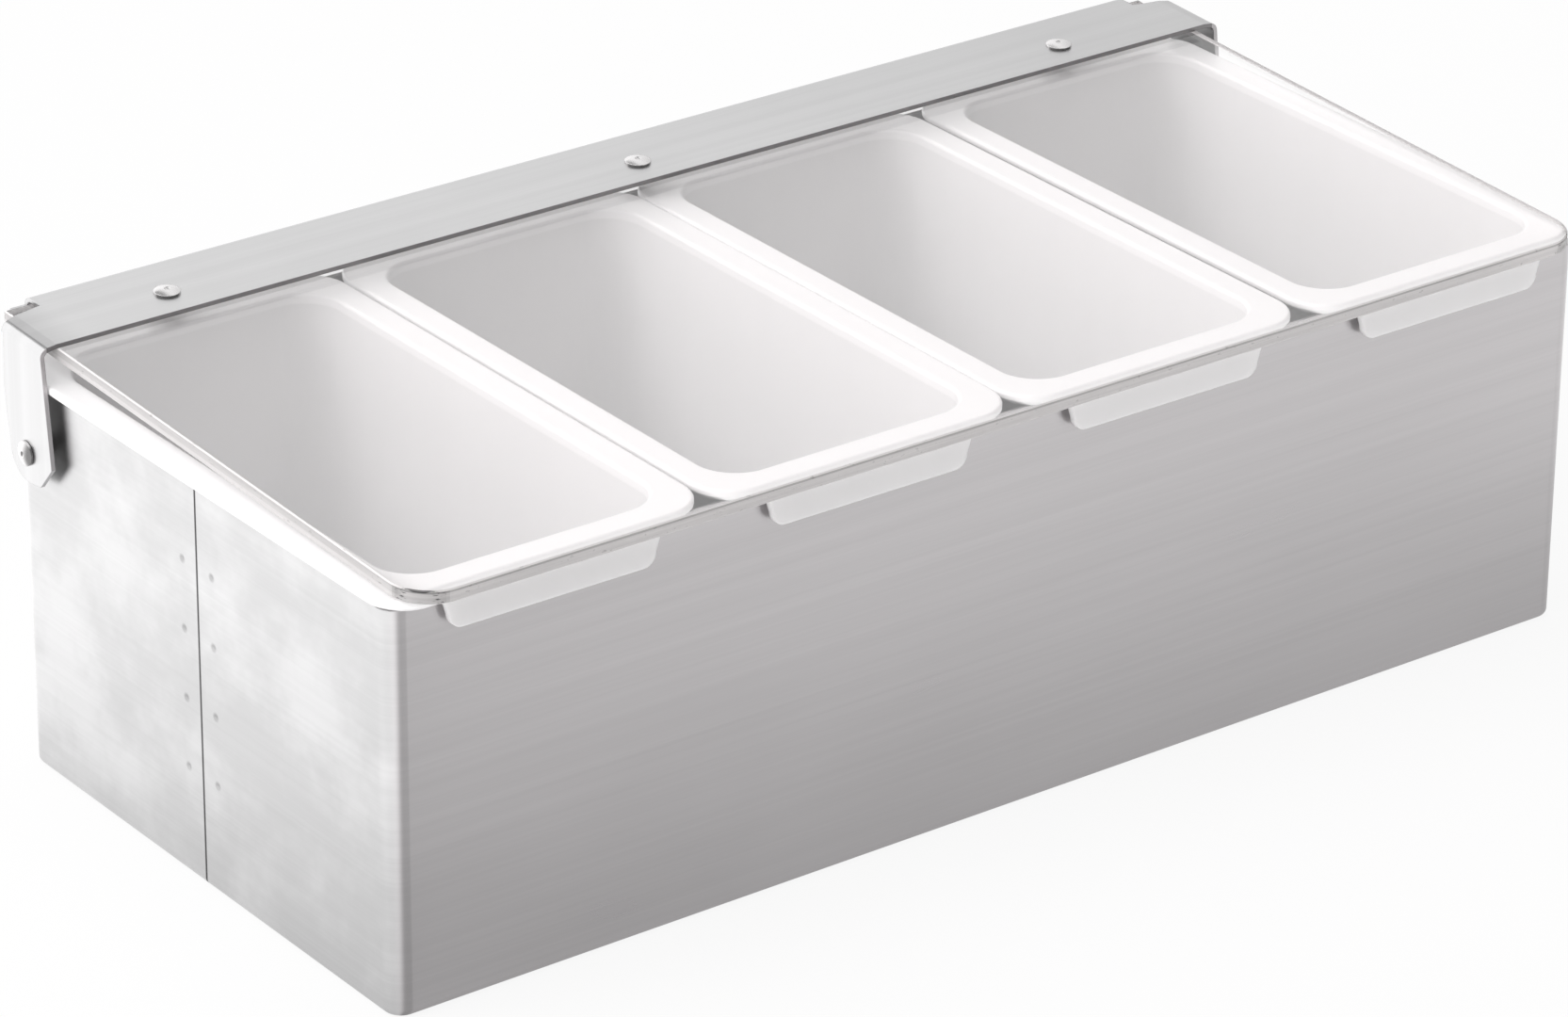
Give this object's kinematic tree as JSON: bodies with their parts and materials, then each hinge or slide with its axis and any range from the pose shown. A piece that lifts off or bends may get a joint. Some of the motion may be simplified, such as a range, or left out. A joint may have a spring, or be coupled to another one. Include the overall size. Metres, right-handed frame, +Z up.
{
  "type": "condiment holder",
  "caption": "Long steel box holding a row of white lift-out condiment wells under a clear hinged lid on a folded steel bar.",
  "frame": {"origin": "middle of the steel box's footprint, on the surface it stands on", "axes": "+X along the box from left to right, the front faces -Y and the hinge is on the +Y side, +Z up"},
  "size_m": [0.313, 0.1527, 0.1016],
  "materials": {
    "box_steel": "brushed along the length, satin",
    "bar_steel": "brushed along the length, satin, darker at the cut edges",
    "rivet_steel": "plain closed rivet heads",
    "white_plastic": "smooth moulded, food-safe white",
    "clear_plastic": "clear sheet with frosted, lightly scratched cut edges"
  },
  "bodies": {
    "box": {"front_shell": "box_steel", "rear_shell": "box_steel", "bottom_pan": "box_steel", "seam_strap_left": "box_steel", "seam_strap_right": "box_steel", "insert_1": "white_plastic", "insert_2": "white_plastic", "insert_3": "white_plastic", "insert_4": "white_plastic", "pivot_rivet_left": "rivet_steel", "pivot_rivet_right": "rivet_steel", "pivot_washer_left": "rivet_steel", "pivot_washer_right": "rivet_steel"},
    "lid": {"hinge_bar": "bar_steel", "lid_panel": "clear_plastic", "lid_rivet_1": "rivet_steel", "lid_rivet_2": "rivet_steel", "lid_rivet_3": "rivet_steel", "lid_washer_1": "rivet_steel", "lid_washer_2": "rivet_steel", "lid_washer_3": "rivet_steel"}
  },
  "joints": [
    {"name": "lid_hinge", "type": "hinge", "parent": "box", "child": "lid", "pos_m": [0, 0.06, 0.0745], "axis": [-1, 0, 0], "range_deg": [0, 115]}
  ]
}
